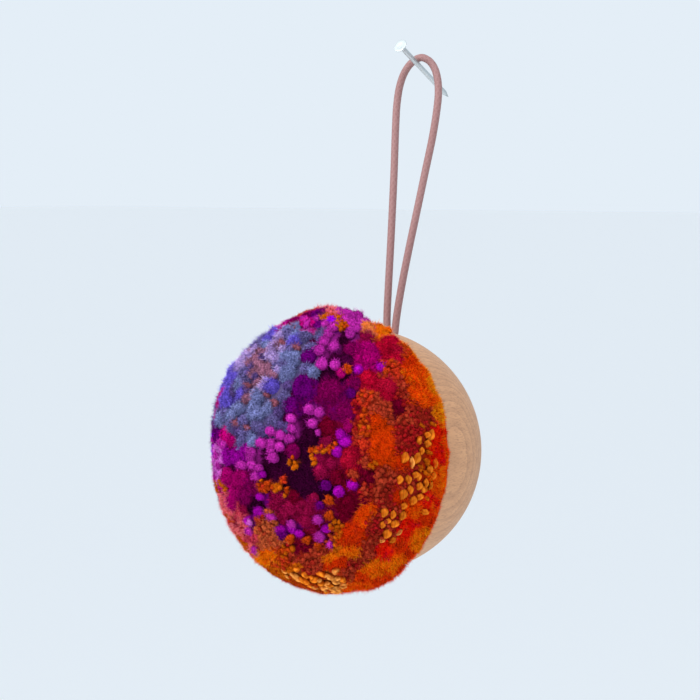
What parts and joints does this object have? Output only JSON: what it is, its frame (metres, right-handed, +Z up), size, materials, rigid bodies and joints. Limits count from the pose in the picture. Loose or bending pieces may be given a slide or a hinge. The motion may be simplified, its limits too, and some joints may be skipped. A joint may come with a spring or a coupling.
{
  "type": "yarn pom pom in a wooden half ball, with its cord loop and nail",
  "caption": "Bun-shaped sheared yarn pom pom set on the flat of a turned wooden half ball, hung by a doubled cord from a small nail in a wall.",
  "frame": {"origin": "where the nail enters the wall, on the wall's face", "axes": "+Z up, +Y into the wall, +X to the right of a viewer who faces the wall"},
  "size_m": [0.0747, 0.0727, 0.147],
  "materials": {
    "pale_wood": "turned and sanded pale hardwood, satin, with fine growth lines",
    "mixed_yarn": "sheared pile of orange, red, magenta, violet and slate-blue yarns",
    "rose_brown_cord": "round waxed cord, dusty rose-brown, matt",
    "zinc": "dull galvanised steel"
  },
  "bodies": {
    "root": {"wooden_half_ball": "pale_wood", "pom_pom": "mixed_yarn", "cord_loop": "rose_brown_cord", "nail": "zinc"}
  },
  "joints": []
}
